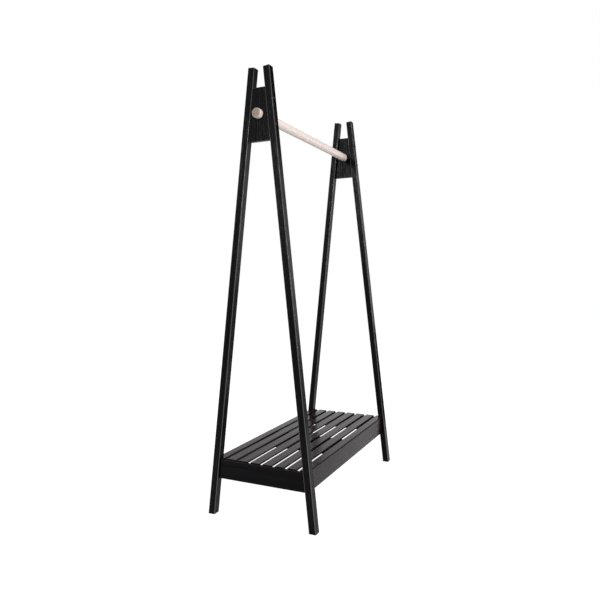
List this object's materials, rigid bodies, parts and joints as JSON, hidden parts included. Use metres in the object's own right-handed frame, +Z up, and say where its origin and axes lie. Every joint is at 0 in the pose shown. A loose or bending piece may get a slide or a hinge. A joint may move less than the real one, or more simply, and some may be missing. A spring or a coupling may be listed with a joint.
{
  "type": "kimono stand",
  "caption": "Free-standing wooden garment stand with leaning end frames, a round hanging rod that draws out sideways and a low slatted shelf for folded pieces.",
  "frame": {"origin": "on the floor under the middle of the stand, which is the centre of the bounding box's base", "axes": "+Z up, X along the hanging rod, -Y the front of the stand; the stand is the same at front and back"},
  "size_m": [0.824, 0.4, 1.5],
  "materials": {
    "stained_wood": "black-brown stain, satin",
    "beech_wood": "clear matt",
    "dark_steel": "black oxide, satin",
    "dowel_wood": "raw"
  },
  "bodies": {
    "stand": {"leg_left_front": "stained_wood", "leg_left_rear": "stained_wood", "leg_right_front": "stained_wood", "leg_right_rear": "stained_wood", "gusset_left": "stained_wood", "gusset_right": "stained_wood", "end_rail_left": "stained_wood", "end_rail_right": "stained_wood", "front_rail": "stained_wood", "rear_rail": "stained_wood", "middle_rail": "stained_wood", "edge_slat_front": "stained_wood", "slat_1": "stained_wood", "slat_2": "stained_wood", "slat_3": "stained_wood", "slat_4": "stained_wood", "slat_5": "stained_wood", "slat_6": "stained_wood", "edge_slat_rear": "stained_wood", "gusset_screws": "dark_steel", "long_rail_dowels": "dowel_wood", "end_rail_dowels": "dowel_wood"},
    "rod": {"hanging_rod": "beech_wood"}
  },
  "joints": [
    {"name": "rod_slide", "type": "slide", "parent": "stand", "child": "rod", "axis": [1, 0, 0], "range_m": [-0.81, 0.81]}
  ]
}
